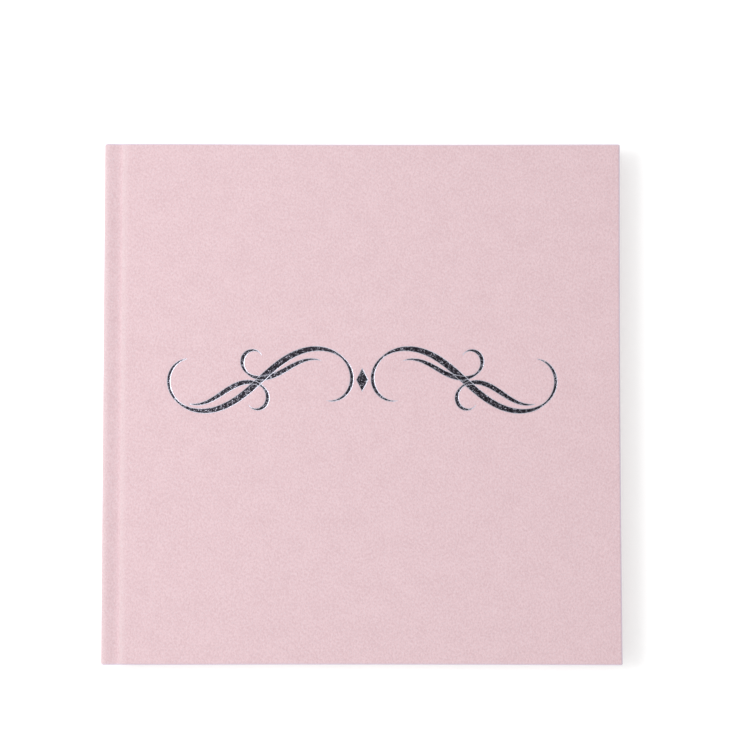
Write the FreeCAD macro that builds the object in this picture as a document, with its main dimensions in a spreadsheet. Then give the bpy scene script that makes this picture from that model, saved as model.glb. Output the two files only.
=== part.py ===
# A case-bound wedding guest book, lying shut on its back cover.
# +X runs from the spine to the fore edge, +Y from the tail to the head, +Z up through the covers.
# The origin is under the middle of the closed book, on the surface that it lies on.
# A cover piece is drawn from the spine's outer face inwards (X) and from the cover's outer face
# inwards (Z), so a front piece is the back piece turned over.
import FreeCAD, Part
import math
import os
import Sketcher

os.makedirs("parts", exist_ok=True)
doc = FreeCAD.newDocument("GuestBook")

loose_leaves = 4      # leaves at each end of the book that turn one by one
sections = range(2, 12)  # folded sections between those leaves, counted from the front
stitch_columns = 6
overcut = 1.0         # how far a cut runs past the face that it opens

# ---------------------------------------------------------------- driving dimensions, mm

driving_sizes = [
    ("page_width", 207.5, "leaf, from the fold to the fore edge"),
    ("page_height", 209.0, "leaf, from tail to head"),
    ("leaf_thickness", 0.2, "heavy writing paper"),
    ("leaf_gap", 0.01, "air between two leaves"),
    ("section_gap", 0.06, "air between two sections"),
    ("endpaper_thickness", 0.2, ""),
    ("flyleaf_gap", 0.03, "air between a flyleaf and its pastedown"),
    ("board_thickness", 2.5, "cover board"),
    ("spine_board_thickness", 2.0, ""),
    ("square", 3.0, "board that stands out past the pages on three sides"),
    ("cloth_thickness", 0.5, "napped covering cloth with its glue"),
    ("edge_round", 0.4, "rounding of the cloth along a cover's outer edges"),
    ("turn_in_thickness", 0.3, "the same cloth, pressed on the inside"),
    ("turn_in_width", 15.0, ""),
    ("joint_width", 4.7, "from the spine board to the cover board"),
    ("groove_depth", 1.0, "how deep the cloth is pressed in at the joint"),
    ("groove_slope", 0.8, "width of each side of the groove"),
    ("fold_gap", 0.05, "clearance where the case folds"),
    ("hollow_gap", 0.2, "air behind the spine"),
    ("lining_thickness", 0.2, "paper lining"),
    ("mull_thickness", 0.25, "open gauze"),
    ("mull_margin", 10.0, "from the mull's end to the end of the pages"),
    ("thread_diameter", 0.24, ""),
    ("thread_gap", 0.02, "each side of the thread"),
    ("stitch_margin", 12.0, "from the end of the pages to the kettle stitch"),
    ("band_bead", 1.6, "diameter of a headband's bead"),
    ("band_tape", 10.0, "tape of a headband, glued down the back"),
    ("band_gap", 0.2, "from the pages to a headband"),
    ("ornament_length", 160.0, "foil flourish, end to end"),
    ("ornament_rise", 9.5, "its middle, above the middle of the cover"),
    ("pen_width", 3.0, "widest stroke of the flourish"),
    ("foil_thickness", 0.03, ""),
]

sizes = doc.addObject("Spreadsheet::Sheet", "Sizes")
for row, (alias, value, note) in enumerate(driving_sizes, start=1):
    sizes.set(f"A{row}", alias)
    sizes.set(f"B{row}", str(value))
    sizes.setAlias(f"B{row}", alias)
    sizes.set(f"C{row}", note)

# ---------------------------------------------------------------- places worked out from them

places = [
    # across the book, from the spine's outer face
    ("spine_inside", "Sizes.cloth_thickness + Sizes.spine_board_thickness"),
    ("spine_turn_in", "spine_inside + Sizes.turn_in_thickness"),
    ("lining_x", "spine_turn_in + Sizes.hollow_gap"),
    ("mull_x", "lining_x + Sizes.lining_thickness"),
    ("mull_back", "mull_x + Sizes.mull_thickness"),
    ("fold_x", "mull_back + Sizes.thread_diameter + 2 * Sizes.thread_gap"),
    ("fore_edge", "fold_x + Sizes.page_width"),
    ("board_left", "spine_inside + Sizes.joint_width"),
    ("board_right", "fore_edge + Sizes.square"),
    ("cover_width", "board_right + Sizes.cloth_thickness"),
    ("spine_face", "-cover_width / 2"),
    # along the spine
    ("board_height", "Sizes.page_height + 2 * Sizes.square"),
    ("cover_height", "board_height + 2 * Sizes.cloth_thickness"),
    ("turn_in_window", "board_height - 2 * Sizes.turn_in_width"),
    ("lining_height", "Sizes.page_height - 2 * Sizes.band_tape - 2 * Sizes.band_gap"),
    ("mull_height", "Sizes.page_height - 2 * Sizes.mull_margin"),
    # through the book, from a cover's outer face
    ("case_corner", "Sizes.cloth_thickness + Sizes.fold_gap"),
    ("board_inside", "Sizes.cloth_thickness + Sizes.board_thickness"),
    ("turn_in_inside", "board_inside + Sizes.turn_in_thickness"),
    ("cover_depth", "turn_in_inside + Sizes.endpaper_thickness"),
    ("flyleaf_z", "cover_depth + Sizes.flyleaf_gap"),
    ("leaves_z", "flyleaf_z + Sizes.endpaper_thickness + Sizes.leaf_gap"),
    ("leaf_pitch", "Sizes.leaf_thickness + Sizes.leaf_gap"),
    ("sections_z", f"leaves_z + {loose_leaves} * leaf_pitch - Sizes.leaf_gap + Sizes.section_gap"),
    ("sheet_inner", "Sizes.leaf_gap / 2"),
    ("sheet_middle", "sheet_inner + Sizes.leaf_thickness"),
    ("section_half", "sheet_middle + Sizes.leaf_gap + Sizes.leaf_thickness"),
    ("section_pitch", "2 * section_half + Sizes.section_gap"),
    ("thickness", f"2 * sections_z + {len(sections)} * section_pitch - Sizes.section_gap"),
]

layout = doc.addObject("Spreadsheet::Sheet", "Layout")
for row, (alias, formula) in enumerate(places, start=1):
    layout.set(f"A{row}", alias)
    layout.set(f"B{row}", "=" + formula)
    layout.setAlias(f"B{row}", alias)
doc.recompute()

pieces = []


def inward(thickness_from, thickness):
    """Two expressions: where a layer starts, from the cover's outer face, and where it ends."""
    return thickness_from, f"{thickness_from} + {thickness}"


def new_body(label, side="back"):
    """A body whose Z runs inwards from the outer face of the back or the front cover."""
    body = doc.addObject("PartDesign::Body", label)
    body.Label = label
    body.setExpression("Placement.Base.x", "Layout.spine_face")
    if side == "front":
        turned_over = FreeCAD.Rotation(FreeCAD.Vector(1, 0, 0), 180)
        body.Placement = FreeCAD.Placement(FreeCAD.Vector(), turned_over)
        body.setExpression("Placement.Base.z", "Layout.thickness")
    pieces.append(body)
    return body


def new_sketch(body, name):
    """A sketch across the book, on the body's own XZ plane."""
    sketch = body.newObject("Sketcher::SketchObject", f"{body.Name}_{name}")
    plane = next(f for f in body.Origin.OriginFeatures if f.Role == "XZ_Plane")
    sketch.AttachmentSupport = [(plane, "")]
    sketch.MapMode = "FlatFace"
    return sketch


def bind(sketch, kind, name, where, value, expression):
    """A named dimension that follows an expression."""
    index = sketch.addConstraint(Sketcher.Constraint(kind, *where, value))
    sketch.renameConstraint(index, name)
    sketch.setExpression(f"Constraints.{name}", expression)


def draw_polygon(sketch, corners):
    """A closed outline through corners given as (x, z) expressions."""
    count = len(corners)
    guess = [FreeCAD.Vector(*(float(doc.Layout.evalExpression(e)) for e in c), 0) for c in corners]
    for i in range(count):
        sketch.addGeometry(Part.LineSegment(guess[i], guess[(i + 1) % count]))
    for i in range(count):
        sketch.addConstraint(Sketcher.Constraint("Coincident", i, 2, (i + 1) % count, 1))
    for i, (x, z) in enumerate(corners):
        bind(sketch, "DistanceX", f"x{i}_mm", (i, 1), guess[i].x, x)
        bind(sketch, "DistanceY", f"z{i}_mm", (i, 1), guess[i].y, z)


def extrude(body, name, sketch, width, cut=False):
    """Carries a sketch along the spine, half each way from the middle of the book."""
    feature = body.newObject("PartDesign::Pocket" if cut else "PartDesign::Pad", f"{body.Name}_{name}")
    feature.Profile = sketch
    feature.SideType = "Symmetric"
    feature.setExpression("Length", width)
    body.Tip = feature
    return feature


def slab(body, name, across, through, width, cut=False):
    """Adds or cuts a block; across and through are (from, to) expressions."""
    sketch = new_sketch(body, f"{name}_outline")
    (left, right), (low, high) = across, through
    draw_polygon(sketch, [(left, low), (right, low), (right, high), (left, high)])
    return extrude(body, name, sketch, width, cut)


# ---------------------------------------------------------------- case: boards and cloth


def cover_board(side):
    body = new_body(f"{side}_board", side)
    slab(body, "board", ("Layout.board_left", "Layout.board_right"),
         ("Sizes.cloth_thickness", "Layout.board_inside"), "Layout.board_height")


def round_outer_edges(body, wrapped):
    """Rounds the cloth where it goes over the board's head, tail and fore edges."""
    doc.recompute()
    right, half = doc.Layout.cover_width, doc.Layout.cover_height / 2
    names = []
    for number, edge in enumerate(wrapped.Shape.Edges, start=1):
        middle = edge.CenterOfMass
        at_rim = abs(abs(middle.y) - half) < 1e-6 or abs(middle.x - right) < 1e-6
        if abs(middle.z) < 1e-6 and at_rim:
            names.append(f"Edge{number}")
    fillet = body.newObject("PartDesign::Fillet", f"{body.Name}_edge_round")
    fillet.Base = (wrapped, names)
    fillet.setExpression("Radius", "min(Sizes.edge_round; 0.8 * Sizes.cloth_thickness)")
    body.Tip = fillet


def cover_cloth(side):
    """Cloth over one cover: its face, the three edges that it wraps and the turn-ins."""
    body = new_body(f"{side}_cloth", side)
    slab(body, "wrap", ("Layout.board_left", "Layout.cover_width"),
         ("0", "Layout.turn_in_inside"), "Layout.cover_height")
    slab(body, "board_room", (f"Layout.board_left - {overcut}", "Layout.board_right"),
         ("Sizes.cloth_thickness", "Layout.board_inside"), "Layout.board_height", cut=True)
    window = slab(body, "window",
                  (f"Layout.board_left - {overcut}", "Layout.board_right - Sizes.turn_in_width"),
                  ("Layout.board_inside", f"Layout.turn_in_inside + {overcut}"),
                  "Layout.turn_in_window", cut=True)
    round_outer_edges(body, window)


def joint_cloth(side):
    """Cloth from the spine's corner over the edge of the spine board and down into the groove."""
    body = new_body(f"{side}_joint_cloth", side)
    shoulder = "Layout.spine_turn_in + Sizes.fold_gap"
    outside = [
        ("Layout.case_corner", "0"),
        (shoulder, "0"),
        (f"{shoulder} + Sizes.groove_slope", "Sizes.groove_depth"),
        ("Layout.board_left - Sizes.groove_slope", "Sizes.groove_depth"),
        ("Layout.board_left", "0"),
    ]
    inside = [(x, f"{z} + Sizes.cloth_thickness") for x, z in reversed(outside)]
    sketch = new_sketch(body, "profile")
    draw_polygon(sketch, outside + inside)
    extrude(body, "strip", sketch, "Layout.cover_height")


def spine_board():
    body = new_body("spine_board")
    slab(body, "board", ("Sizes.cloth_thickness", "Layout.spine_inside"),
         ("Layout.case_corner", "Layout.thickness - Layout.case_corner"), "Layout.board_height")


def spine_cloth():
    """Cloth over the spine's back, round the two ends of its board and turned in."""
    body = new_body("spine_cloth")
    inner = ("Layout.case_corner", "Layout.thickness - Layout.case_corner")
    slab(body, "back", ("0", "Sizes.cloth_thickness"), ("0", "Layout.thickness"), "Layout.cover_height")
    slab(body, "ends", ("0", "Layout.spine_turn_in"), inner, "Layout.cover_height")
    slab(body, "board_room", ("Sizes.cloth_thickness", "Layout.spine_inside"), inner,
         "Layout.board_height", cut=True)
    slab(body, "window", ("Layout.spine_inside", f"Layout.spine_turn_in + {overcut}"), inner,
         "Layout.turn_in_window", cut=True)


# ---------------------------------------------------------------- endpapers and leaves


def pastedown(side):
    """Glued half of an endpaper: flat on the board and stepped up over the turn-ins."""
    body = new_body(f"{side}_pastedown", side)
    inner_right = "Layout.board_right - Sizes.turn_in_width"
    slab(body, "on_board", ("Layout.board_left", inner_right),
         ("Layout.board_inside", "Layout.cover_depth"), "Layout.turn_in_window")
    slab(body, "on_turn_ins", ("Layout.board_left", "Layout.fore_edge"),
         ("Layout.turn_in_inside", "Layout.cover_depth"), "Sizes.page_height")
    slab(body, "dish",
         (f"Layout.board_left - {overcut}", f"{inner_right} - Sizes.endpaper_thickness"),
         ("Layout.board_inside + Sizes.endpaper_thickness", f"Layout.cover_depth + {overcut}"),
         "Layout.turn_in_window - 2 * Sizes.endpaper_thickness", cut=True)


def flyleaf(side):
    """Free half of an endpaper."""
    body = new_body(f"{side}_flyleaf", side)
    slab(body, "leaf", ("Layout.fold_x", "Layout.fore_edge"),
         inward("Layout.flyleaf_z", "Sizes.endpaper_thickness"), "Sizes.page_height")


def loose_leaf(side, number):
    """A leaf that turns by itself; number 1 is next to the flyleaf."""
    body = new_body(f"{side}_leaf_{number}", side)
    start = f"Layout.leaves_z + {number - 1} * Layout.leaf_pitch"
    slab(body, "leaf", ("Layout.fold_x", "Layout.fore_edge"),
         inward(start, "Sizes.leaf_thickness"), "Sizes.page_height")


def draw_folded_sheet(sketch, name, inner, outer):
    """A sheet folded in two round the sketch's origin, open towards the fore edge."""
    first = sketch.GeometryCount
    low, low_end, low_in, fold_in, high_in, high_end, high, fold = range(first, first + 8)
    leaf_end = "Sizes.page_width - Layout.section_half"
    far = float(doc.Layout.evalExpression(leaf_end))
    r_in = float(doc.Layout.evalExpression(inner))
    r_out = float(doc.Layout.evalExpression(outer))
    origin, up = FreeCAD.Vector(), FreeCAD.Vector(0, 0, 1)

    def line(x1, z1, x2, z2):
        sketch.addGeometry(Part.LineSegment(FreeCAD.Vector(x1, z1, 0), FreeCAD.Vector(x2, z2, 0)))

    def half_turn(radius):
        circle = Part.Circle(origin, up, radius)
        sketch.addGeometry(Part.ArcOfCircle(circle, math.pi / 2, 3 * math.pi / 2))

    line(0, -r_out, far, -r_out)
    line(far, -r_out, far, -r_in)
    line(far, -r_in, 0, -r_in)
    half_turn(r_in)
    line(0, r_in, far, r_in)
    line(far, r_in, far, r_out)
    line(far, r_out, 0, r_out)
    half_turn(r_out)
    rules = [("Coincident", low, 2, low_end, 1), ("Coincident", low_end, 2, low_in, 1),
             ("Coincident", high_in, 2, high_end, 1), ("Coincident", high_end, 2, high, 1),
             ("Tangent", low_in, 2, fold_in, 2), ("Tangent", high_in, 1, fold_in, 1),
             ("Tangent", high, 2, fold, 1), ("Tangent", low, 1, fold, 2),
             ("Coincident", fold_in, 3, -1, 1), ("Coincident", fold, 3, -1, 1)]
    rules += [("Horizontal", g) for g in (low, low_in, high_in, high)]
    rules += [("Vertical", g) for g in (low_end, high_end)]
    for rule in rules:
        sketch.addConstraint(Sketcher.Constraint(*rule))
    bind(sketch, "Radius", f"{name}_inside", (fold_in,), r_in, inner)
    bind(sketch, "Radius", f"{name}_outside", (fold,), r_out, outer)
    bind(sketch, "DistanceX", f"{name}_low_end", (low_end, 1), far, leaf_end)
    bind(sketch, "DistanceX", f"{name}_high_end", (high_end, 1), far, leaf_end)


def section(number):
    """Two sheets folded one inside the other, which makes four leaves."""
    body = new_body(f"section_{number:02d}")
    below = sections[-1] - number
    body.setExpression("Placement.Base.x", "Layout.spine_face + Layout.fold_x + Layout.section_half")
    body.setExpression(
        "Placement.Base.z",
        f"Layout.sections_z + Layout.section_half + {below} * Layout.section_pitch")
    sketch = new_sketch(body, "sheets")
    draw_folded_sheet(sketch, "inner", "Layout.sheet_inner", "Layout.sheet_middle")
    draw_folded_sheet(sketch, "outer", "Layout.sheet_middle + Sizes.leaf_gap", "Layout.section_half")
    extrude(body, "leaves", sketch, "Sizes.page_height")


# ---------------------------------------------------------------- the back of the page block


def back_strip(label, left, thickness, height):
    """A strip glued down the back of the pages, as wide as the block is thick."""
    body = new_body(label)
    slab(body, "strip", inward(left, thickness),
         ("Layout.flyleaf_z", "Layout.thickness - Layout.flyleaf_z"), height)


def end_band(label, end):
    """A headband: a round bead over the end of the pages, on a tape glued down the back."""
    tall = "Layout.thickness - 2 * Layout.flyleaf_z"
    middle = "(Sizes.page_height / 2 + Sizes.band_gap + Sizes.band_bead / 2)"
    bead = doc.addObject("Part::Cylinder", f"{label}_bead")
    bead.setExpression("Radius", "Sizes.band_bead / 2")
    bead.setExpression("Height", tall)
    bead.setExpression("Placement.Base.x", "Layout.spine_face + Layout.lining_x + Sizes.band_bead / 2")
    bead.setExpression("Placement.Base.y", f"{end} * {middle}")
    bead.setExpression("Placement.Base.z", "Layout.flyleaf_z")
    tape = doc.addObject("Part::Box", f"{label}_tape")
    tape.setExpression("Length", "Sizes.lining_thickness")
    tape.setExpression("Width", "Sizes.band_tape + Sizes.band_gap + Sizes.band_bead / 2")
    tape.setExpression("Height", tall)
    tape.setExpression("Placement.Base.x", "Layout.spine_face + Layout.lining_x")
    from_y = middle if end < 0 else "(Sizes.page_height / 2 - Sizes.band_tape)"
    tape.setExpression("Placement.Base.y", f"{end} * {from_y}")
    tape.setExpression("Placement.Base.z", "Layout.flyleaf_z")
    band = doc.addObject("Part::Fuse", label)
    band.Label = label
    band.Base, band.Tool = bead, tape
    pieces.append(band)


def sewing_thread():
    """Stitches that link the sections, in columns down the back of the folds."""
    columns = []
    for i in range(stitch_columns):
        share = i / (stitch_columns - 1) - 0.5
        column = doc.addObject("Part::Cylinder", f"stitches_{i + 1}")
        column.setExpression("Radius", "Sizes.thread_diameter / 2")
        column.setExpression("Height", "Layout.thickness - 2 * Layout.leaves_z")
        column.setExpression(
            "Placement.Base.x",
            "Layout.spine_face + Layout.mull_back + Sizes.thread_gap + Sizes.thread_diameter / 2")
        column.setExpression("Placement.Base.y", f"{share} * (Sizes.page_height - 2 * Sizes.stitch_margin)")
        column.setExpression("Placement.Base.z", "Layout.leaves_z")
        columns.append(column)
    thread = doc.addObject("Part::Compound", "sewing_thread")
    thread.Label = "sewing_thread"
    thread.Links = columns
    pieces.append(thread)


# ---------------------------------------------------------------- foil flourish on the front

# Scrolls of the right half, in shares of half the flourish: middle (x, y), tilt in degrees, size,
# first and last turn of the spiral, and nib in shares of the pen's width.
scrolls = [
    (0.528, 0.000, -43, 0.500, -1.62, 1.55, 1.00),
    (0.388, 0.058, -30, 0.250, -0.75, 1.75, 0.80),
    (0.725, -0.070, -34, 0.250, -1.75, 0.75, 0.80),
]
pen_slant = math.radians(40)
thin_share = 0.42     # the nib's thin side, as a share of its width
stroke_stations = 26
lozenge_half = (0.032, 0.062)  # half width and half height, in shares of half the flourish


def clothoid(turn):
    """A point of the unit clothoid, by the power series of its two integrals."""
    x = y = 0.0
    term = turn
    for n in range(30):
        if n % 2 == 0:
            x += (-1) ** (n // 2) * term / (2 * n + 1)
        else:
            y += (-1) ** (n // 2) * term / (2 * n + 1)
        term *= math.pi / 2 * turn * turn / (n + 1)
    return x, y


def stroke_face(scroll, half_length, pen):
    """One pen stroke along a clothoid, pointed at both ends and wide across the pen's slant."""
    mid_x, mid_y, tilt, size, first, last, nib = scroll
    tilt = math.radians(tilt)
    left, right = [], []
    for i in range(stroke_stations + 1):
        share = i / stroke_stations
        turn = first + (last - first) * share
        x, y = (half_length * size * v for v in clothoid(turn))
        heading = math.pi / 2 * turn * turn + tilt
        px = half_length * mid_x + x * math.cos(tilt) - y * math.sin(tilt)
        py = half_length * mid_y + x * math.sin(tilt) + y * math.cos(tilt)
        swell = thin_share + (1 - thin_share) * abs(math.sin(heading - pen_slant))
        half_width = pen * nib / 2 * swell * math.sqrt(max(0.0, math.sin(math.pi * share)))
        across = FreeCAD.Vector(-math.sin(heading), math.cos(heading), 0) * half_width
        point = FreeCAD.Vector(px, py, 0)
        left.append(point + across)
        right.append(point - across)
    left[-1] = right[-1]
    right[0] = left[0]
    edges = []
    for side in (left, right):
        curve = Part.BSplineCurve()
        curve.interpolate(side)
        edges.append(curve.toShape())
    return Part.Face(Part.Wire(edges))


def cover_ornament():
    """Two mirrored sets of scrolls with a lozenge between them, as one foil film."""
    half_length = doc.Sizes.ornament_length / 2
    foil = doc.Sizes.foil_thickness
    faces = [stroke_face(scroll, half_length, doc.Sizes.pen_width) for scroll in scrolls]
    right = faces[0].multiFuse(faces[1:]).removeSplitter()
    left = right.mirror(FreeCAD.Vector(), FreeCAD.Vector(1, 0, 0))
    wide, tall = (half_length * share for share in lozenge_half)
    corners = [(wide, 0), (0, tall), (-wide, 0), (0, -tall), (wide, 0)]
    lozenge = Part.Face(Part.makePolygon([FreeCAD.Vector(x, y, 0) for x, y in corners]))
    solids = [face.extrude(FreeCAD.Vector(0, 0, foil))
              for shape in (right, left, lozenge) for face in shape.Faces]
    ornament = doc.addObject("Part::Feature", "cover_ornament")
    ornament.Label = "cover_ornament"
    ornament.Shape = Part.makeCompound(solids)
    ornament.Placement.Base = FreeCAD.Vector(0, doc.Sizes.ornament_rise, doc.Layout.thickness)
    pieces.append(ornament)


# ---------------------------------------------------------------- the whole book

for side in ("back", "front"):
    cover_board(side)
    cover_cloth(side)
    joint_cloth(side)
    pastedown(side)
    flyleaf(side)
    for number in range(1, loose_leaves + 1):
        loose_leaf(side, number)
spine_board()
spine_cloth()
for number in sections:
    section(number)
back_strip("spine_lining", "Layout.lining_x", "Sizes.lining_thickness", "Layout.lining_height")
back_strip("mull", "Layout.mull_x", "Sizes.mull_thickness", "Layout.mull_height")
end_band("head_band", 1)
end_band("tail_band", -1)
sewing_thread()
cover_ornament()
doc.recompute()

for item in doc.Objects:
    if "Invalid" in item.State or "Error" in item.State:
        raise RuntimeError(f"{item.Label} failed: {item.State}")
for piece in pieces:
    if piece.Shape.isNull() or not piece.Shape.isValid():
        raise RuntimeError(f"{piece.Label} has no valid shape")
for piece in pieces:
    piece.Shape.exportStep(f"parts/{piece.Label}.step")
    box = piece.Shape.BoundBox
    print(f"{piece.Label:20s} {len(piece.Shape.Solids):2d} solids  {piece.Shape.Volume:10.1f} mm3  "
          f"x {box.XMin:8.2f} {box.XMax:8.2f}  y {box.YMin:8.2f} {box.YMax:8.2f}  "
          f"z {box.ZMin:6.2f} {box.ZMax:6.2f}")
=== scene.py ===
import bmesh
import bpy
import math
import numpy as np
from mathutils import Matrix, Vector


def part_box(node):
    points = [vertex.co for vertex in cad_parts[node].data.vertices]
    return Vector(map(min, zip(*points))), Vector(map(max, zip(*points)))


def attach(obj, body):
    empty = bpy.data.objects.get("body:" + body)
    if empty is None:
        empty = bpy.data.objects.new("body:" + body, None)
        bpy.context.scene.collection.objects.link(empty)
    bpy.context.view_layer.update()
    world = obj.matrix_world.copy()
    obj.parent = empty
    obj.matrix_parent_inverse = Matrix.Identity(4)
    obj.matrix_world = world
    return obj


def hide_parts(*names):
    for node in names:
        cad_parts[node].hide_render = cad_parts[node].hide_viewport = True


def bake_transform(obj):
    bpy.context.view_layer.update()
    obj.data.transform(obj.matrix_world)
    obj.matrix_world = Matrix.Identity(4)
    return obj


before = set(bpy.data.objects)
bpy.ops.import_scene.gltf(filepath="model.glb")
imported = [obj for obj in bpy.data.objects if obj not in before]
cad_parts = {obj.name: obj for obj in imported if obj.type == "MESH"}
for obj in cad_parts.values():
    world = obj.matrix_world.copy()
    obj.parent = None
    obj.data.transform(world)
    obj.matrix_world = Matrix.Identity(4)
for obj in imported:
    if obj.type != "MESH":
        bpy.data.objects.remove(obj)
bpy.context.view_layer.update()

mm = 0.001
rng = np.random.default_rng(21)

def edgesOf(node):
    # low and high corners in mm
    low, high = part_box(node)
    return np.array(low) / mm, np.array(high) / mm

_, clothHigh = edgesOf("back_cloth")
spineLow, spineHigh = edgesOf("spine_cloth")
boardLow, boardHigh = edgesOf("back_board")
_, paperHigh = edgesOf("back_pastedown")
flyLow, flyHigh = edgesOf("back_flyleaf")
# places in mm; x runs from the spine's outer face, and depth from a cover's outer face
book = {
    "spine": spineLow[0],                       # x of the spine's outer face
    "thick": spineHigh[2],
    "width": clothHigh[0] - spineLow[0],
    "half": clothHigh[1],                       # half the cover's height
    "boardLeft": boardLow[0] - spineLow[0],
    "boardRight": boardHigh[0] - spineLow[0],
    "boardHalf": boardHigh[1],
    "boardDepth": boardHigh[2],
    "coverDepth": paperHigh[2],
    "turnInDepth": clothHigh[2],
    "fold": flyLow[0] - spineLow[0],
    "foreEdge": flyHigh[0] - spineLow[0],
    "pageHalf": flyHigh[1],
}


def smoothStep(low, high, value):
    # 0 before low, 1 past high, and 3t^2 - 2t^3 of the share t between them
    t = np.clip((value - low) / (high - low), 0, 1)
    return t * t * (3 - 2 * t)

def gridFaces(rows, columns):
    # the quad of each neighbouring pair of rows and columns, points numbered row by row
    i, j = np.meshgrid(np.arange(rows - 1), np.arange(columns - 1), indexing="ij")
    first = i * columns + j
    return np.stack([first, first + columns, first + columns + 1, first + 1], -1).reshape(-1, 4)

def markSharp(mesh, angle):
    # folds past the angle, and the open borders, whose normals a wall's rim would otherwise tip
    mesh.set_sharp_from_angle(angle=math.radians(angle))
    used = np.empty(len(mesh.loops), np.int32)
    mesh.loops.foreach_get("edge_index", used)
    border = np.bincount(used, minlength=len(mesh.edges)) == 1
    if border.any():
        layer = mesh.attributes.get("sharp_edge") or mesh.attributes.new("sharp_edge", "BOOLEAN", "EDGE")
        sharp = np.empty(len(mesh.edges), bool)
        layer.data.foreach_get("value", sharp)
        layer.data.foreach_set("value", sharp | border)

def addPiece(name, points, faces, finish, sharp=40, uv=None):
    # points in mm from the spine's outer face become metres in the book's frame
    mesh = bpy.data.meshes.new(name)
    places = (points + [book["spine"], 0, 0]) * mm
    mesh.vertices.add(len(places))
    mesh.vertices.foreach_set("co", places.astype(np.float32).ravel())
    mesh.loops.add(faces.size)
    mesh.loops.foreach_set("vertex_index", faces.astype(np.int32).ravel())
    mesh.polygons.add(len(faces))
    mesh.polygons.foreach_set("loop_start", np.arange(0, faces.size, 4, dtype=np.int32))
    mesh.update(calc_edges=True)
    if uv is not None:
        layer = mesh.uv_layers.new(name="UVMap")
        layer.data.foreach_set("uv", uv[faces.ravel()].astype(np.float32).ravel())
    mesh.validate()
    mesh.shade_smooth()
    markSharp(mesh, sharp)
    mesh.materials.append(finish)
    piece = bpy.data.objects.new(name, mesh)
    bpy.context.scene.collection.objects.link(piece)
    return piece

def facedOutwards(points, faces):
    # a closed mesh's signed volume, the sum of its corner pyramids, is negative when it is inside out
    a, b, c, d = (points[faces[:, k]] for k in range(4))
    volume = (np.cross(a, b) * c).sum() + (np.cross(a, c) * d).sum()
    return faces if volume > 0 else faces[:, ::-1]

def closedSheet(grid, offset):
    # one side of a sheet is a grid of points and the other is the same grid moved by offset;
    # the two are joined by a rim round their edge
    rows, columns = grid.shape[:2]
    count = rows * columns
    points = np.concatenate([grid.reshape(-1, 3), (grid + offset).reshape(-1, 3)])
    near = gridFaces(rows, columns)
    number = np.arange(count).reshape(rows, columns)
    border = np.concatenate([number[0, :-1], number[:-1, -1], number[-1, :0:-1], number[:0:-1, 0]])
    following = np.roll(border, -1)
    rim = np.stack([border, following, following + count, border + count], 1)
    faces = np.concatenate([near, near[:, ::-1] + count, rim])
    return points, facedOutwards(points, faces)

def joined(parts):
    # several (points, faces) pairs as one
    starts = np.cumsum([0] + [len(points) for points, _ in parts[:-1]])
    return (np.concatenate([points for points, _ in parts]),
            np.concatenate([faces + start for (_, faces), start in zip(parts, starts)]))

def fromFront(depth):
    return book["thick"] - depth

def sided(points, front):
    # depth from the cover's outer face becomes height, turned over for the front cover
    out = points.copy()
    out[..., 2] = fromFront(points[..., 2]) if front else points[..., 2]
    return out


class Wire:
    # a node's output that sums and products can be written with
    def __init__(self, finish, socket):
        self.finish, self.socket = finish, socket

    def maths(self, operation, first, second):
        return self.finish.node("ShaderNodeMath", {"operation": operation}, {0: first, 1: second})

    def __add__(self, other):
        return self.maths("ADD", self, other)

    def __mul__(self, other):
        return self.maths("MULTIPLY", self, other)

    __radd__, __rmul__ = __add__, __mul__

class Finish:
    # a material whose nodes all come from node()
    def __init__(self, name):
        self.material = bpy.data.materials.new(name)
        self.material.use_nodes = True
        self.tree = self.material.node_tree
        self.tree.nodes.clear()

    def node(self, kind, settings=None, inputs=None, output=0):
        made = self.tree.nodes.new(kind)
        for key, value in (settings or {}).items():
            if key == "stops":
                for k, (place, colour) in enumerate(value):
                    stop = made.color_ramp.elements[k] if k < 2 else made.color_ramp.elements.new(place)
                    stop.position, stop.color = place, (*colour, 1)
            else:
                setattr(made, key, value)
        for key, value in (inputs or {}).items():
            if isinstance(value, Wire):
                self.tree.links.new(value.socket, made.inputs[key])
            else:
                made.inputs[key].default_value = value
        return Wire(self, made.outputs[output]) if len(made.outputs) else None

    def places(self, scale=(1, 1, 1), turn=0.0):
        # object coordinates in mm, turned about Z and scaled
        here = self.node("ShaderNodeTexCoord", output=3)
        size = tuple(s / mm for s in scale)
        return self.node("ShaderNodeMapping", None,
                         {"Vector": here, "Scale": size, "Rotation": (0, 0, math.radians(turn))})

    def noise(self, vector, size, detail=3.0, rough=0.55):
        # clouds about size mm across, from 0 to 1
        return self.node("ShaderNodeTexNoise", None, {"Vector": vector, "Scale": 1 / size,
                                                      "Detail": detail, "Roughness": rough})

    def between(self, share, low, high):
        # a smooth 0 to 1 as share passes from low to high
        return self.node("ShaderNodeMapRange", {"interpolation_type": "SMOOTHSTEP"},
                         {"Value": share, "From Min": low, "From Max": high})

    def tint(self, share, first, second, how="MIX"):
        ends = [c if isinstance(c, Wire) else (*c, 1) for c in (first, second)]
        return self.node("ShaderNodeMix", {"data_type": "RGBA", "blend_type": how},
                         {0: share, 6: ends[0], 7: ends[1]}, output=2)

    def bump(self, height, depth, strength=1.0, under=None):
        # depth in mm that the height's 0 to 1 stands for
        inputs = {"Height": height, "Distance": depth * mm, "Strength": strength}
        if under:
            inputs["Normal"] = under
        return self.node("ShaderNodeBump", None, inputs)

    def surface(self, **inputs):
        named = {key.replace("_", " "): value for key, value in inputs.items()}
        shader = self.node("ShaderNodeBsdfPrincipled", None, named)
        self.node("ShaderNodeOutputMaterial", None, {"Surface": shader})
        return self.material


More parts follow.
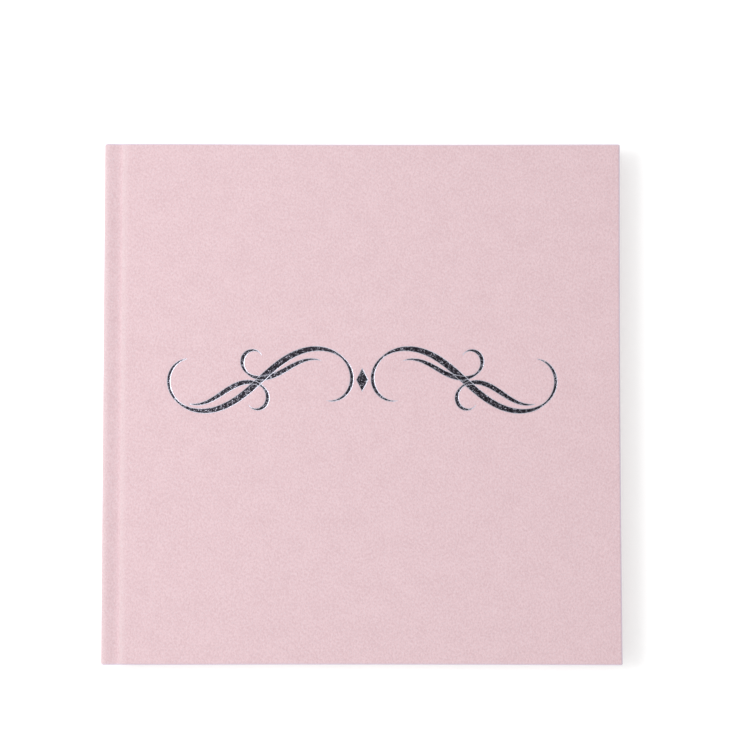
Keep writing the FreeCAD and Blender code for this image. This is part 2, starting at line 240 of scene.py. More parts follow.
suede = {
    "light": (0.755, 0.562, 0.594), "dark": (0.637, 0.449, 0.478), "grey": (0.700, 0.610, 0.655),
    # edge is the colour of the painted sheen on the rounded outer edges, ridge that of the painted
    # highlight on the joint's ridge and the spine's corner
    "edge": (0.71, 0.66, 0.82), "ridge": (0.79, 0.68, 0.69),
    "mottle": 0.72, "fibre": 0.36, "speck": 0.55, "swirl": 9.0, "nap": 0.16, "sheen": 0.40,
    "sheenTint": (0.74, 0.76, 1.0, 1), "rough": 0.92,
}

def suedeFinish():
    # blotches of brushed nap, short fibres inside them and a slow drift of tone
    f = Finish("blushSuede")
    here = f.places()
    mottle = f.noise(f.places((1, 0.72, 1), 20), suede["mottle"], 2.5, 0.6)
    fibre = f.noise(f.places((1, 0.55, 1), 28), suede["fibre"], 4.0, 0.65)
    swirl = f.noise(here, suede["swirl"], 1.5, 0.5)
    share = f.between(mottle * 0.48 + fibre * 0.42 + swirl * 0.10, 0.36, 0.64)
    colour = f.tint(share, suede["dark"], suede["light"])
    grey = f.between(f.noise(f.places((1, 0.8, 1), 40), suede["speck"], 2.0), 0.52, 0.72)
    colour = f.tint(grey * 0.5, colour, suede["grey"])
    # the map's second value marks where a painted highlight, paler, lies on the joint: along the board's
    # edge and round the spine's corner; its first value marks the outer edges, where a painted sheen turns
    # the cloth cooler
    marks = f.node("ShaderNodeUVMap")
    paintedEdgeSheen = f.node("ShaderNodeSeparateXYZ", None, {0: marks})
    paintedRidgeHighlight = f.node("ShaderNodeSeparateXYZ", None, {0: marks}, output=1)
    colour = f.tint(paintedRidgeHighlight * (fibre * 0.6 + 0.35), colour, suede["ridge"])
    colour = f.tint(paintedEdgeSheen * (fibre * 0.6 + 0.35), colour, suede["edge"])
    nap = f.bump(fibre * 0.6 + mottle * 0.7, suede["nap"], 0.55)
    return f.surface(Base_Color=colour, Roughness=suede["rough"], Normal=nap,
                     Sheen_Weight=suede["sheen"], Sheen_Tint=suede["sheenTint"], Sheen_Roughness=0.3,
                     Specular_IOR_Level=0.18)

papers = {
    "pages": {"light": (0.89, 0.875, 0.835), "dark": (0.81, 0.79, 0.745), "fibre": 0.5},
    "endpaper": {"light": (0.90, 0.888, 0.86), "dark": (0.84, 0.825, 0.79), "fibre": 0.35},
    "kraft": {"light": (0.47, 0.33, 0.20), "dark": (0.36, 0.24, 0.14), "fibre": 0.6},
    "greyBoard": {"light": (0.40, 0.385, 0.36), "dark": (0.27, 0.26, 0.245), "fibre": 0.9},
}

def paperFinish(name):
    # long fibres pressed flat, with a fine cut streak along Z that shows on a trimmed edge
    look = papers[name]
    f = Finish(name)
    fibres = f.noise(f.places((1, 0.35, 1), 15), look["fibre"], 4.0, 0.6)
    cloud = f.noise(f.places(), 9.0, 2.0)
    streak = f.noise(f.places((0.05, 0.05, 6)), 1.0, 2.0, 0.7)
    share = f.between(fibres * 0.5 + cloud * 0.1 + streak * 0.4, 0.33, 0.62)
    colour = f.tint(share, look["dark"], look["light"])
    return f.surface(Base_Color=colour, Roughness=0.78, Normal=f.bump(fibres, 0.02, 0.5),
                     Specular_IOR_Level=0.3)

stripe = 0.31415        # from one stripe to the next, in mm, in a wave texture whose scale is 1

def wovenFinish(name, dark, light, pitch):
    # over and under threads: the product of two waves across each other, one for each direction
    f = Finish(name)
    waves = [f.node("ShaderNodeTexWave", {"bands_direction": way, "wave_profile": "SIN"},
                    {"Vector": f.places(), "Scale": stripe / pitch, "Distortion": 0.4}) for way in "YZ"]
    weave = waves[0] * waves[1]
    colour = f.tint(f.between(weave, 0.05, 0.6), dark, light)
    return f.surface(Base_Color=colour, Roughness=0.85, Normal=f.bump(weave, 0.08))

band = {
    "pitch": 0.75, "ribs": 0.07, "pink": (0.70, 0.40, 0.46), "cream": (0.86, 0.82, 0.75),
    "rows": 150, "around": 24, "endRound": 0.5, "tape": 0.2, "tapeRows": (5, 12),
}

def bandFinish():
    # stripes of two threads wound round the bead, one pair for each rib
    f = Finish("bandThread")
    wave = f.node("ShaderNodeTexWave", {"bands_direction": "Z", "wave_profile": "SIN"},
                  {"Vector": f.places(), "Scale": stripe / (2 * band["pitch"]), "Distortion": 0.0})
    strand = f.noise(f.places((1, 1, 3)), 0.18, 2.0)
    colour = f.tint(f.between(wave, 0.42, 0.58), band["pink"], band["cream"])
    return f.surface(Base_Color=colour, Roughness=0.7, Normal=f.bump(strand, 0.05), Sheen_Weight=0.3)

foil = {
    # silver is the colour of the painted glints and of the painted reflection along each stroke's sides
    "dark": (0.011, 0.009, 0.014), "mid": (0.042, 0.036, 0.050), "silver": (0.66, 0.67, 0.77),
    "fleck": 0.50, "crackle": 1.3, "rim": 0.29,
}

def foilFinish():
    # dark stamped foil with painted glints, silver flecks where the light would catch it, and a painted
    # reflection, a bright silver rim where it climbs the cloth
    f = Finish("gunmetalFoil")
    fromSide = f.node("ShaderNodeSeparateXYZ", None, {0: f.node("ShaderNodeUVMap")}, output=1)
    fine = f.noise(f.places(), foil["fleck"], 2.0, 0.6)
    crackle = f.noise(f.places(turn=40), foil["crackle"], 3.0, 0.6)
    # painted reflection along the stroke's sides, and painted glints scattered over it, both in silver
    rim = f.between(fromSide * (1 / foil["rim"]) + fine * 1.6, 1.75, 1.15)
    fleck = f.between(fine * 0.65 + crackle * 0.35, 0.545, 0.625)
    colour = f.tint(f.between(crackle, 0.4, 0.65), foil["dark"], foil["mid"])
    paintedShine = f.node("ShaderNodeMath", {"operation": "MAXIMUM"}, {0: rim * 0.9, 1: fleck * 0.75})
    colour = f.tint(paintedShine, colour, foil["silver"])
    dents = f.bump(fine * 0.5 + crackle, 0.10, 0.7)
    return f.surface(Base_Color=colour, Metallic=0.85, Roughness=f.between(crackle, 0.2, 0.9) * 0.25 + 0.25,
                     Normal=dents)

def floorFinish():
    f = Finish("paleFloor")
    tone = f.noise(f.places(), 60.0, 2.0)
    return f.surface(Base_Color=f.tint(tone, (0.81, 0.81, 0.81), (0.83, 0.83, 0.83)), Roughness=0.9,
                     Specular_IOR_Level=0.0, Emission_Color=(1, 1, 1, 1), Emission_Strength=0.28)

finishes = {
    "suede": suedeFinish(), "pages": paperFinish("pages"), "endpaper": paperFinish("endpaper"),
    "kraft": paperFinish("kraft"), "greyBoard": paperFinish("greyBoard"),
    "gauze": wovenFinish("mullGauze", (0.50, 0.47, 0.40), (0.82, 0.80, 0.73), 0.912),
    "thread": wovenFinish("linenThread", (0.55, 0.51, 0.43), (0.87, 0.84, 0.76), 0.152),
    "band": bandFinish(), "foil": foilFinish(), "floor": floorFinish(),
}
for node, finish in {"front_board": "greyBoard", "back_board": "greyBoard", "spine_board": "greyBoard",
                     "spine_lining": "kraft", "mull": "gauze", "sewing_thread": "thread"}.items():
    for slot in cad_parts[node].material_slots:
        slot.material = finishes[finish]
print("finishes made")


flourish = {
    "half": 80.0, "rise": 9.5, "pen": 3.0, "slant": 40, "thin": 0.42, "stations": 150, "across": 11,
    "press": 0.17, "valley": 1.1, "lift": 0.04, "lip": 0.06, "lipWide": 0.35,
    "reach": 3.0,           # how far past the box of a stroke's middle line the press is worked out
    "thick": 0.07, "finest": 0.03, "overlay": 0.004,    # each stroke lies this much over the one before
    # middle x and y, tilt, size, first and last turn of the spiral, and nib; lengths are shares of the half
    "scrolls": [(0.528, 0.000, -43, 0.500, -1.62, 1.55, 1.00),
                (0.388, 0.058, -30, 0.250, -0.75, 1.75, 0.80),
                (0.725, -0.070, -34, 0.250, -1.75, 0.75, 0.80)],
    "lozenge": (0.032, 0.062),
}

def runningSum(values, steps):
    return np.concatenate([[0], np.cumsum((values[1:] + values[:-1]) / 2 * steps)])

def strokeLine(scroll):
    # a clothoid, whose heading grows with the square of the turn, so x and y are the running sums of
    # its cosine and sine; the stroke is widest across the pen's slant and pointed at both ends
    midX, midY, tilt, size, first, last, nib = scroll
    fine = np.linspace(0, max(abs(first), abs(last)), 3000)
    step = fine[1] - fine[0]
    alongX = runningSum(np.cos(math.pi / 2 * fine ** 2), step)
    alongY = runningSum(np.sin(math.pi / 2 * fine ** 2), step)
    turn = np.linspace(first, last, flourish["stations"])
    x = np.sign(turn) * np.interp(abs(turn), fine, alongX) * size
    y = np.sign(turn) * np.interp(abs(turn), fine, alongY) * size
    tilt = math.radians(tilt)
    heading = math.pi / 2 * turn ** 2 + tilt
    centre = np.stack([midX + x * math.cos(tilt) - y * math.sin(tilt),
                       midY + x * math.sin(tilt) + y * math.cos(tilt)], 1) * flourish["half"]
    fromSlant = abs(np.sin(heading - math.radians(flourish["slant"])))
    swell = flourish["thin"] + (1 - flourish["thin"]) * fromSlant
    share = np.linspace(0, 1, flourish["stations"])
    halfWidth = flourish["pen"] * nib / 2 * swell * np.sqrt(np.sin(math.pi * share).clip(0))
    return centre, heading, halfWidth

def allStrokes():
    # the right half's scrolls, their mirror images and the lozenge, a straight stroke that swells evenly
    strokes = []
    for scroll in flourish["scrolls"]:
        centre, heading, halfWidth = strokeLine(scroll)
        strokes.append((centre, heading, halfWidth))
        strokes.append((centre * [-1, 1], math.pi - heading, halfWidth))
    wide, tall = (flourish["half"] * share for share in flourish["lozenge"])
    share = np.linspace(-1, 1, flourish["stations"])
    strokes.append((np.stack([0 * share, tall * share], 1), np.full(len(share), math.pi / 2),
                    wide * (1 - abs(share))))
    middle = [book["width"] / 2, flourish["rise"]]
    return [(centre + middle, heading, halfWidth) for centre, heading, halfWidth in strokes]

strokes = allStrokes()

def pressedDepth(x, y):
    # how deep the hot stamp has pushed the cloth: full under a stroke, easing out beside it
    spots = np.stack([x.ravel(), y.ravel()], 1)
    clear = np.full(len(spots), flourish["valley"])
    for centre, _, halfWidth in strokes:
        low, high = centre.min(0) - flourish["reach"], centre.max(0) + flourish["reach"]
        near = ((spots > low) & (spots < high)).all(1)
        gap = np.linalg.norm(spots[near][:, None] - centre[None, ::2], axis=2) - halfWidth[None, ::2]
        clear[near] = np.minimum(clear[near], gap.min(1))
    return (flourish["press"] * (1 - smoothStep(0, flourish["valley"], clear))).reshape(x.shape)


cover = {
    "edgeRound": 1.0, "innerRound": 0.45, "corner": 0.75, "turnIn": 15.0, "clothThick": 0.42,
    "seam": 5.0,            # from the board's inner edge to where the joint's cloth meets the panel's
    "flatRim": 2.6, "bow": 0.40, "bowStart": 60.0, "bowFade": 30.0,
    "sheenInset": (0.15, 0.75), "sheenDepth": (0.7, 1.3),     # where the painted sheen of the outer edge fades
    "edgeSteps": 8, "cornerSteps": 7, "margin": 2.5,
    "coarse": 50, "beside": 12, "pitch": 0.52,      # grid lines: plain face, beside the flourish, over it
}
seamX = book["boardLeft"] + cover["seam"]

def wrapProfile(depth):
    # inset from the outline and depth, from the flat face round the edge and back under as a turn-in
    r, q = cover["edgeRound"], cover["innerRound"]
    quarter = np.linspace(0, math.pi / 2, cover["edgeSteps"])
    flat = [(cover["flatRim"], 0), (1.7, 0), (1.25, 0)]
    outer = np.stack([r - r * np.sin(quarter), r - r * np.cos(quarter)], 1)
    side = [(0, r + (depth - r - q) * t) for t in (0.33, 0.67)]
    inner = np.stack([q - q * np.cos(quarter[::2]), depth - q + q * np.sin(quarter[::2])], 1)
    under = [(inset, depth) for inset in (1.2, 3.0, 7.0, cover["turnIn"])]
    return np.concatenate([flat, outer, side, inner, under])

def sheenMark(inset, depth):
    # where the painted sheen lies: 1 on the rounding of the outer edge, 0 on the face and under it, as the
    # first value of a map
    mark = (1 - smoothStep(*cover["sheenInset"], inset)) * (1 - smoothStep(*cover["sheenDepth"], depth))
    return np.stack([mark, 0 * mark], -1).reshape(-1, 2)

def bowed(x, y):
    # the outline drawn in between the corners by the cloth's pull: a half sine along each free edge
    share = np.clip((x - seamX) / (book["width"] - seamX), 0, 1)
    along = smoothStep(seamX, seamX + cover["bowStart"], x) * np.sin(math.pi * share)
    inY = 0.5 * cover["bow"] * along * smoothStep(book["half"] - cover["bowFade"], book["half"], abs(y))
    inX = cover["bow"] * np.cos(math.pi / 2 * y / book["half"])
    inX = inX * smoothStep(book["width"] - cover["bowFade"], book["width"], x)
    return x - inX, y - np.sign(y) * inY

def panelLines(fine):
    # grid lines of the flat face: even, and closer together over the flourish
    rim = cover["flatRim"]
    xEnds, yEnds = (seamX, book["width"] - rim), (-book["half"] + rim, book["half"] - rim)
    if not fine:
        return np.linspace(*xEnds, cover["coarse"]), np.linspace(*yEnds, cover["coarse"])
    spread = np.concatenate([centre for centre, _, _ in strokes])
    low, high = spread.min(0) - cover["margin"], spread.max(0) + cover["margin"]
    def lines(ends, near):
        count, beside = int((near[1] - near[0]) / cover["pitch"]), cover["beside"]
        return np.concatenate([np.linspace(ends[0], near[0], beside)[:-1],
                               np.linspace(*near, count)[:-1], np.linspace(near[1], ends[1], beside)])
    return lines(xEnds, (low[0], high[0])), lines(yEnds, (low[1], high[1]))

def coverPanel(name, front):
    # the face is a grid of x and y; its rim is the wrap profile carried along tail, fore edge and head,
    # with an arc of directions at each corner whose radius is what the inset leaves of the corner's
    xs, ys = panelLines(front)
    x, y = np.meshgrid(xs, ys, indexing="ij")
    depth = pressedDepth(x, y) if front else 0 * x
    face = np.stack([x, y, depth], -1)
    corner, half, right = cover["corner"], book["half"], book["width"]
    inset, down = wrapProfile(book["turnInDepth"]).T
    turn = np.linspace(0, math.pi / 2, cover["cornerSteps"])
    radius = np.maximum(corner - inset, 0)[:, None]
    centreOff = np.maximum(corner, inset)[:, None]
    # tail edge, its corner, fore edge, its corner, head edge; each as (profile, along) arrays
    reach = np.minimum(xs[None, :], right - centreOff)
    tail = (reach, (-half + inset)[:, None] + 0 * reach)
    first = (right - centreOff + radius * np.sin(turn), -half + centreOff - radius * np.cos(turn))
    rise = np.clip(ys[None, :], -half + centreOff, half - centreOff)
    fore = ((right - inset)[:, None] + 0 * rise, rise)
    second = (right - centreOff + radius * np.cos(turn), half - centreOff + radius * np.sin(turn))
    head = (reach[:, ::-1], (half - inset)[:, None] + 0 * reach)
    rimX = np.concatenate([part[0] for part in (tail, first, fore, second, head)], 1)
    rimY = np.concatenate([part[1] for part in (tail, first, fore, second, head)], 1)
    rim = np.stack([rimX, rimY, down[:, None] * np.ones_like(rimX)], -1)
    points, faces = joined([(face.reshape(-1, 3), gridFaces(*x.shape)),
                            (rim.reshape(-1, 3), gridFaces(*rimX.shape))])
    points[:, 0], points[:, 1] = bowed(points[:, 0], points[:, 1])
    # the map's first value is the painted sheen on the rounding of the outer edge
    marks = np.concatenate([np.zeros((x.size, 2)),
                            sheenMark(inset[:, None] + 0 * rimX, down[:, None] + 0 * rimX)])
    panel = addPiece(name, sided(points, front), faces if front else faces[:, ::-1],
                     finishes["suede"], 60, marks)
    weld(panel)
    thicken(panel, cover["clothThick"])
    return panel

def weld(piece):
    # merges the doubles where a face meets its rim, at the corners and where inner rows fall together
    work = bmesh.new()
    work.from_mesh(piece.data)
    bmesh.ops.remove_doubles(work, verts=work.verts, dist=2e-6)
    bmesh.ops.dissolve_degenerate(work, edges=work.edges, dist=1e-7)
    work.to_mesh(piece.data)
    work.free()
    markSharp(piece.data, 60)

def thicken(piece, amount):
    wall = piece.modifiers.new("clothWall", "SOLIDIFY")
    wall.thickness, wall.offset, wall.use_even_offset = amount * mm, -1, False

joint = {
    "spineRound": 1.0, "groove": 0.78, "shoulder": 1.5, "floorStart": 6.2, "floorEnd": 6.6,
    "boardEdge": 7.5, "boardLift": 0.46, "boardSoftEnd": 10.8, "grooveThick": 0.75, "wrapX": 2.8,
    "spineSeam": 3.0, "wall": 0.2,
    "slack": 0.5,           # cloth that the groove takes up
    "stations": [(1.1, 1.2, 2), (1.3, 6.4, 36), (6.5, seamX, 24)],      # x from, to and number of lines
    "along": 40,            # lines from tail to head
    "paintedHighlight": 0.34,        # how strong the painted highlight is over the spine's corner and the board's edge
    "ridge": (6.9, 7.7, 7.8, 10.6),     # x where the painted highlight along the board's edge begins, is full, begins to fade and ends
    "corner": (0.8, 2.4), "cornerDepth": (1.0, 2.2),    # where the painted highlight on the spine's corner fades along x and down the spine
}

# the cloth's flat sizes in metres, with its turn-ins: along the book's height and across each piece
wrapped = book["turnInDepth"] + cover["turnIn"]
cut = {
    "height": 2 * (book["half"] + wrapped) * mm,
    "panel": (book["width"] - seamX + wrapped) * mm,
    "frontJoint": (book["thick"] - joint["spineSeam"] + seamX + joint["slack"]) * mm,
    "backJoint": (joint["spineSeam"] + seamX + joint["slack"]) * mm,
}

for front in (False, True):
    side = "front" if front else "back"
    panel = coverPanel(side + "Panel", front)
    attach(panel, side + "_cover")
    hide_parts(side + "_cloth")
print("cover panels made")

def grooveDepth(x):
    # down from the spine's shoulder, flat, steeply up to the board's edge, and on to its face along a
    # parabola that levels out: the square of the share of the soft stretch still to go
    down = smoothStep(joint["shoulder"], joint["floorStart"], x)
    up = smoothStep(joint["floorEnd"], joint["boardEdge"], x)
    soft = np.clip((joint["boardSoftEnd"] - x) / (joint["boardSoftEnd"] - joint["floorEnd"]), 0, 1) ** 2
    return (joint["groove"] - joint["boardLift"]) * down * (1 - up) + joint["boardLift"] * down * soft

def jointPaths(spineEnd):
    # outer path up the spine, round its corner and across the groove to the panel, and the inner path
    # that the wrapped ends reach to; both as (x, depth from the cover's outer face)
    r, inX = joint["spineRound"], joint["wrapX"]
    upSpine = [(0, d) for d in np.linspace(spineEnd, r, max(3, int(spineEnd - r)))[:-1]]
    corner = [(r - r * math.cos(a), r - r * math.sin(a)) for a in np.linspace(0, math.pi / 2, 10)]
    acrossX = np.concatenate([np.linspace(*stretch) for stretch in joint["stations"]])
    outer = np.array(upSpine + corner + [(x, d) for x, d in zip(acrossX, grooveDepth(acrossX))])
    inner = outer.copy()
    thin = joint["grooveThick"]
    onSpine = outer[:, 0] < inX
    inner[onSpine, 0] = inX
    inner[onSpine, 1] = np.maximum(outer[onSpine, 1], thin + grooveDepth(inX))
    inGroove = ~onSpine & (outer[:, 0] < book["boardLeft"])
    inner[inGroove, 1] += thin
    inner[outer[:, 0] >= book["boardLeft"], 1] = book["turnInDepth"]
    return outer, inner

def paintedHighlight(x, depth):
    # painted highlight: a share on the spine's rounded corner, and another that rises and dies away along
    # the board's edge
    begin, full, fade, end = joint["ridge"]
    corner = (1 - smoothStep(*joint["corner"], x)) * (1 - smoothStep(*joint["cornerDepth"], depth))
    ridge = smoothStep(begin, full, x) * (1 - smoothStep(fade, end, x))
    return joint["paintedHighlight"] * (corner + ridge)

def jointCloth(name, front, spineEnd):
    # the wrap profile's depth becomes a share of the way from the outer path to the inner one
    outer, inner = jointPaths(spineEnd)
    inset, down = wrapProfile(book["turnInDepth"]).T
    share = down / book["turnInDepth"]
    flatEnd = book["half"] - cover["flatRim"]
    flatY = np.linspace(-flatEnd, flatEnd, joint["along"])[1:-1]
    y = np.concatenate([(-book["half"] + inset)[::-1], flatY, book["half"] - inset])
    s = np.concatenate([share[::-1], 0 * flatY, share])
    path = outer[:, None] + (inner - outer)[:, None] * s[None, :, None]
    grid = np.stack([path[..., 0], np.broadcast_to(y, path.shape[:2]), path[..., 1]], -1)
    faces = gridFaces(*grid.shape[:2])
    # the map's first value is the painted sheen on the head and tail edges, its second the painted
    # highlight on the joint
    marks = sheenMark(book["half"] - abs(grid[..., 1]), s * book["turnInDepth"] + 0 * grid[..., 1])
    marks[:, 1] = paintedHighlight(grid[..., 0], grid[..., 2]).ravel()
    piece = addPiece(name, sided(grid.reshape(-1, 3), front), faces if front else faces[:, ::-1],
                     finishes["suede"], 60, marks)
    weld(piece)
    thicken(piece, joint["wall"])
    return piece

def bookPoint(x, depth, front):
    return ((book["spine"] + x) * mm, 0, (fromFront(depth) if front else depth) * mm)

foldStart, foldEnd = 3.0, book["boardLeft"] + 0.1
frontJoint = jointCloth("spineAndFrontJoint", True, book["thick"] - joint["spineSeam"])
bookPoint(foldStart, 0, True)
bookPoint(foldEnd, 0, True)
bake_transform(frontJoint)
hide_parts("spine_cloth", "front_joint_cloth")
backJoint = jointCloth("backJoint", False, joint["spineSeam"])
bookPoint(foldEnd, 0, False)
bookPoint(foldStart, 0, False)
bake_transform(backJoint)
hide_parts("back_joint_cloth")
print("joint cloth made")


def foilStrokes():
    # each stroke is a grid along and across it, dished: flat in the middle, with a lip along both sides;
    # its map holds the way along and the distance from the nearer side, both in mm
    parts, marks = [], []
    v = np.linspace(-1, 1, flourish["across"])
    v = np.sign(v) * abs(v) ** 0.7
    for k, (centre, heading, halfWidth) in enumerate(strokes):
        out = np.stack([-np.sin(heading), np.cos(heading)], 1)
        wide = np.maximum(halfWidth, flourish["finest"])[:, None]
        flat = centre[:, None] + out[:, None] * (wide * v)[..., None]
        fromSide = wide * (1 - abs(v))
        rise = flourish["lip"] * (1 - smoothStep(0, flourish["lipWide"], fromSide))
        depth = flourish["press"] - flourish["lift"] - flourish["overlay"] * k - rise
        grid = np.concatenate([flat, depth[..., None]], -1)
        parts.append(closedSheet(sided(grid, True), np.array([0, 0, -flourish["thick"]])))
        along = runningSum(np.ones(len(centre)), np.linalg.norm(np.diff(centre, axis=0), axis=1))
        mark = np.stack([np.broadcast_to(along[:, None], fromSide.shape), fromSide], -1).reshape(-1, 2)
        marks += [mark, mark]
    return joined(parts), np.concatenate(marks)

(foilPoints, foilFaces), foilMarks = foilStrokes()
ornament = addPiece("foilFlourish", foilPoints, foilFaces, finishes["foil"], 50, foilMarks)
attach(ornament, "front_cover")
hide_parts("cover_ornament")
print("foil flourish made")


endpaper = {
    "thick": 0.16, "ridge": 1.6, "pastRidge": 0.4, "hingeThick": 0.12,
    "foldSink": 0.01, "boardSink": 0.1,     # how far the strip's two ends lie below their neighbours' faces
    "rows": 30, "ridgeRows": 8, "hingeRows": 14, "hingeTall": 8,    # grid lines
}

def pastedown(name, front):
    # lies on the board and steps up over the hidden turn-ins, smoothly across the ridge's width
    window = book["boardRight"] - cover["turnIn"], book["boardHalf"] - cover["turnIn"]
    def lines(low, high, edge):
        near = np.linspace(edge - endpaper["ridge"], edge + endpaper["pastRidge"], endpaper["ridgeRows"])
        return np.unique(np.concatenate([np.linspace(low, high, endpaper["rows"]), near]).round(3))
    xs = lines(book["boardLeft"], book["foreEdge"], window[0])
    upper = lines(0, book["pageHalf"], window[1])
    ys = np.concatenate([-upper[:0:-1], upper])
    x, y = np.meshgrid(xs, ys, indexing="ij")
    over = 1 - (1 - smoothStep(window[0] - endpaper["ridge"], window[0], x)) \
        * (1 - smoothStep(window[1] - endpaper["ridge"], window[1], abs(y)))
    low = book["boardDepth"] + book["coverDepth"] - book["turnInDepth"]
    depth = low + (book["coverDepth"] - low) * over
    points, faces = closedSheet(sided(np.stack([x, y, depth], -1), front),
                                np.array([0, 0, endpaper["thick"] * (1 if front else -1)]))
    return addPiece(name, points, faces, finishes["endpaper"])

def hingePaper(name, front):
    # the strip between the pages' shoulder and the board, sagging a little between the two
    x = np.linspace(book["fold"], book["boardLeft"], endpaper["hingeRows"])
    t = (x - x[0]) / (x[-1] - x[0])
    atFold, atBoard = book["coverDepth"] - endpaper["foldSink"], book["turnInDepth"] - endpaper["boardSink"]
    depth = atFold * (1 - t) + atBoard * t
    y = np.linspace(-book["pageHalf"], book["pageHalf"], endpaper["hingeTall"])
    grid = np.stack(np.broadcast_arrays(x[:, None], y[None, :], depth[:, None]), -1)
    inwards = endpaper["hingeThick"] * (1 if front else -1)
    points, faces = closedSheet(sided(grid, front), np.array([0, 0, inwards]))
    return addPiece(name, points, faces, finishes["endpaper"])

for front in (False, True):
    side = "front" if front else "back"
    glued = pastedown(side + "Pastedown", front)
    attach(glued, side + "_cover")
    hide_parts(side + "_pastedown")
    hinge = hingePaper(side + "HingePaper", front)
    ends = bookPoint(book["fold"], 3, front), bookPoint(foldEnd, 3, front)
    if front:
        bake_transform(hinge)
    else:
        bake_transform(hinge)
print("endpapers made")


leaves = {
    "gutter": 11.0, "pastGutter": 2.0, "trim": 0.09, "sheetGap": 0.01,
    "near": 20, "far": 14, "foldRows": 9, "tall": 6,    # grid lines
}

def leafStations(start, end):
    # close together in the gutter, where a leaf bends as it turns, and wide apart beyond it
    bend = start + leaves["gutter"] + leaves["pastGutter"]
    return np.concatenate([np.linspace(start, bend, leaves["near"])[:-1],
                           np.linspace(bend, end, leaves["far"])])

def trimmed():
    # this sheet's own small misfit at the knife: fore edge, tail and head
    return rng.uniform(-1, 0.3, 3) * leaves["trim"]

def leafHeights(misfit):
    return np.linspace(-book["pageHalf"] - misfit[1], book["pageHalf"] + misfit[2], leaves["tall"])

def leafMesh(top, thick):
    misfit = trimmed()
    x = leafStations(book["fold"], book["foreEdge"] + misfit[0])
    y = leafHeights(misfit)
    grid = np.stack(np.broadcast_arrays(x[:, None], y[None, :], np.array([[top]])), -1)
    return closedSheet(grid, np.array([0, 0, -thick]))

def foldedSheet(x0, z0, inner, outer, end):
    # one sheet: along the lower leaf to the fold, half a turn round it and back along the upper leaf
    misfit = trimmed()
    leaf = leafStations(0, end + misfit[0] - x0)
    angle = np.linspace(-math.pi / 2, -3 * math.pi / 2, leaves["foldRows"])[1:-1]
    def line(radius):
        return np.concatenate([np.stack([leaf[::-1], 0 * leaf - radius], 1),
                               np.stack([np.cos(angle), np.sin(angle)], 1) * radius,
                               np.stack([leaf, 0 * leaf + radius], 1)])
    y = leafHeights(misfit)
    def sheet(radius):
        at = line(radius) + [x0, z0]
        return np.stack(np.broadcast_arrays(at[:, :1], y[None, :], at[:, 1:]), -1)
    return closedSheet(sheet(outer), sheet(inner) - sheet(outer))

def turnWith(piece, node, pivotX):
    # its ends in the gutter, between the page block and the leaf's own body, are worked out but not used;
    # the piece is baked where it stands and the part it stands for hidden
    near, far = ((book["spine"] + pivotX + d) * mm for d in (0.0, leaves["gutter"]))
    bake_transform(piece)
    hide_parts(node)

for node in sorted(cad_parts):
    low, high = edgesOf(node)
    if "_leaf_" in node or node.endswith("flyleaf"):
        points, faces = leafMesh(high[2], high[2] - low[2])
        kind = "endpaper" if "flyleaf" in node else "pages"
        leaf = addPiece(node + "_paper", points, faces, finishes[kind])
        turnWith(leaf, node, book["fold"])
    elif node.startswith("section_"):
        outerR, gap = (high[2] - low[2]) / 2, leaves["sheetGap"]
        sheet = (outerR - gap * 1.5) / 2
        x0, z0 = low[0] - book["spine"] + outerR, (low[2] + high[2]) / 2
        end = book["foreEdge"]
        parts = [foldedSheet(x0, z0, gap / 2, gap / 2 + sheet, end),
                 foldedSheet(x0, z0, outerR - sheet, outerR, end)]
        points, faces = joined(parts)
        folded = addPiece(node + "_paper", points, faces, finishes["pages"])
        turnWith(folded, node, x0)
print("leaves and sections made")


def headBand(name, node):
    # a bead whose radius swells once for each winding thread, closed with rounded ends
    low, high = edgesOf(node)
    r = (high[0] - low[0]) / 2
    end = 1 if high[1] > 0 else -1
    centre = np.array([low[0] - book["spine"] + r, end * (max(abs(low[1]), abs(high[1])) - r)])
    z = np.linspace(low[2], high[2], band["rows"])
    fromEnd = np.minimum(z - low[2], high[2] - z)
    ribs = 1 - band["ribs"] * (0.5 + 0.5 * np.cos(2 * math.pi * z / band["pitch"]))
    inwards = np.minimum(fromEnd / (band["endRound"] * r), 1)
    radius = r * ribs * np.sqrt(np.clip(1 - (1 - inwards) ** 2, 0.02, 1))
    around = np.linspace(0, 2 * math.pi, band["around"] + 1)[:-1]
    ring = np.stack([centre[0] + radius[:, None] * np.cos(around),
                     centre[1] + radius[:, None] * np.sin(around), z[:, None] + 0 * around], -1)
    number = np.arange(ring[..., 0].size).reshape(ring.shape[:2])
    following = np.roll(number, -1, 1)
    wall = np.stack([number[:-1], following[:-1], following[1:], number[1:]], -1).reshape(-1, 4)
    tapeX = low[0] - book["spine"]
    points = ring.reshape(-1, 3)
    tapeY = np.linspace(end * min(abs(low[1]), abs(high[1])), centre[1], band["tapeRows"][0])
    tapeZ = np.linspace(low[2], high[2], band["tapeRows"][1])
    tape = np.stack(np.broadcast_arrays(np.array([[tapeX]]), tapeY[:, None], tapeZ[None, :]), -1)
    wallFaces = facedOutwards(points, np.concatenate([wall] + capFaces(number)))
    points, faces = joined([(points, wallFaces), closedSheet(tape, np.array([band["tape"], 0, 0]))])
    return addPiece(name, points, faces, finishes["band"], 70)

def capFaces(number):
    # quads that close the first and last rings, pairing the points on opposite sides
    caps = []
    for loop, order in ((number[0], -1), (number[-1], 1)):
        half = len(loop) // 2
        one, other = loop[:half], loop[:half - 1:-1]
        caps.append(np.stack([one[:-1], one[1:], other[1:], other[:-1]], 1)[:, ::order])
    return caps

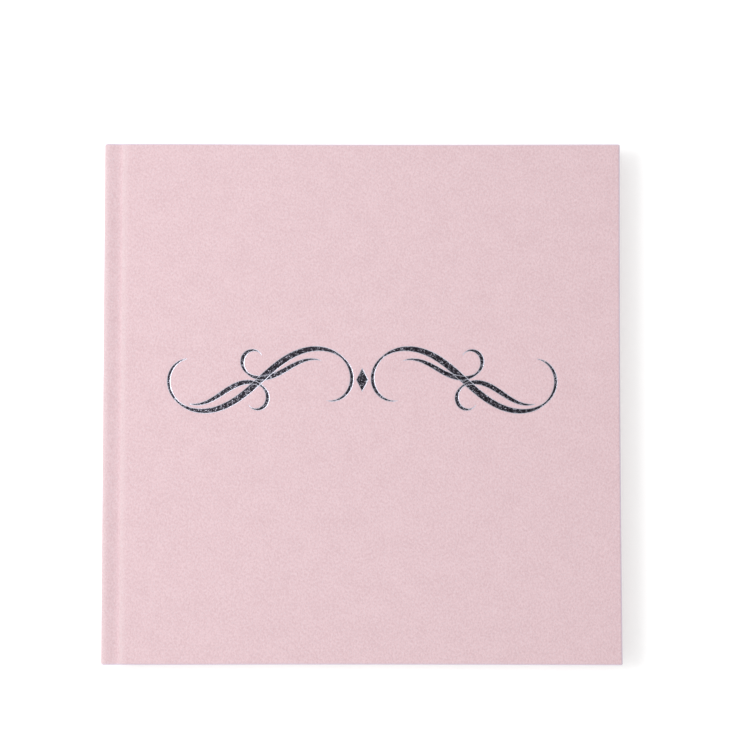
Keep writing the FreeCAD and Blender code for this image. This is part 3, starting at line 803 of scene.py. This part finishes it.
for name, node in (("headBand", "head_band"), ("tailBand", "tail_band")):
    bandPiece = headBand(name, node)
    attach(bandPiece, "book_block")
    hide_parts(node)
print("headbands made")


studio = {
    "floor": 16.0, "sky": 0.68,
    # place, size and power of each lamp
    "key": ((-0.51, 0.062, 0.858), 0.34, 2.55), "softBox": ((-0.55, 0.10, 0.95), 1.1, 4.2),
    "lens": 81.0, "sensor": 36.0, "clip": (0.01, 20.0),
    "distance": 0.701, "tilt": 2.56, "roll": 0.05, "aim": (5.75, 11.1),
}

def addFloor():
    half = studio["floor"] / 2
    mesh = bpy.data.meshes.new("floor")
    corners = [(-half, -half, 0), (half, -half, 0), (half, half, 0), (-half, half, 0)]
    mesh.from_pydata(corners, [], [(0, 1, 2, 3)])
    mesh.materials.append(finishes["floor"])
    floor = bpy.data.objects.new("floor", mesh)
    bpy.context.scene.collection.objects.link(floor)

def addLight(name, place, size, energy):
    lamp = bpy.data.lights.new(name, "AREA")
    lamp.shape, lamp.size, lamp.energy = "DISK", size, energy
    light = bpy.data.objects.new(name, lamp)
    light.location = place
    light.rotation_euler = (-light.location).to_track_quat("-Z", "Y").to_euler()
    bpy.context.scene.collection.objects.link(light)

def addCamera():
    data = bpy.data.cameras.new("camera")
    data.lens, data.sensor_width = studio["lens"], studio["sensor"]
    data.clip_start, data.clip_end = studio["clip"]
    camera = bpy.data.objects.new("camera", data)
    tilt = math.radians(studio["tilt"])
    aim = np.array([*studio["aim"], book["thick"]]) * mm
    camera.location = aim + studio["distance"] * np.array([0, -math.sin(tilt), math.cos(tilt)])
    camera.rotation_euler = (tilt, 0, math.radians(studio["roll"]))
    bpy.context.scene.collection.objects.link(camera)
    bpy.context.scene.camera = camera

addFloor()
for lampName in ("key", "softBox"):
    addLight(lampName, *studio[lampName])
addCamera()
world = bpy.data.worlds.new("studio")
world.use_nodes = True
sky = world.node_tree.nodes["Background"]
sky.inputs["Color"].default_value = (1, 1, 1, 1)
sky.inputs["Strength"].default_value = studio["sky"]
bpy.context.scene.world = world
bpy.context.scene.view_settings.view_transform = "Standard"
print("studio made")
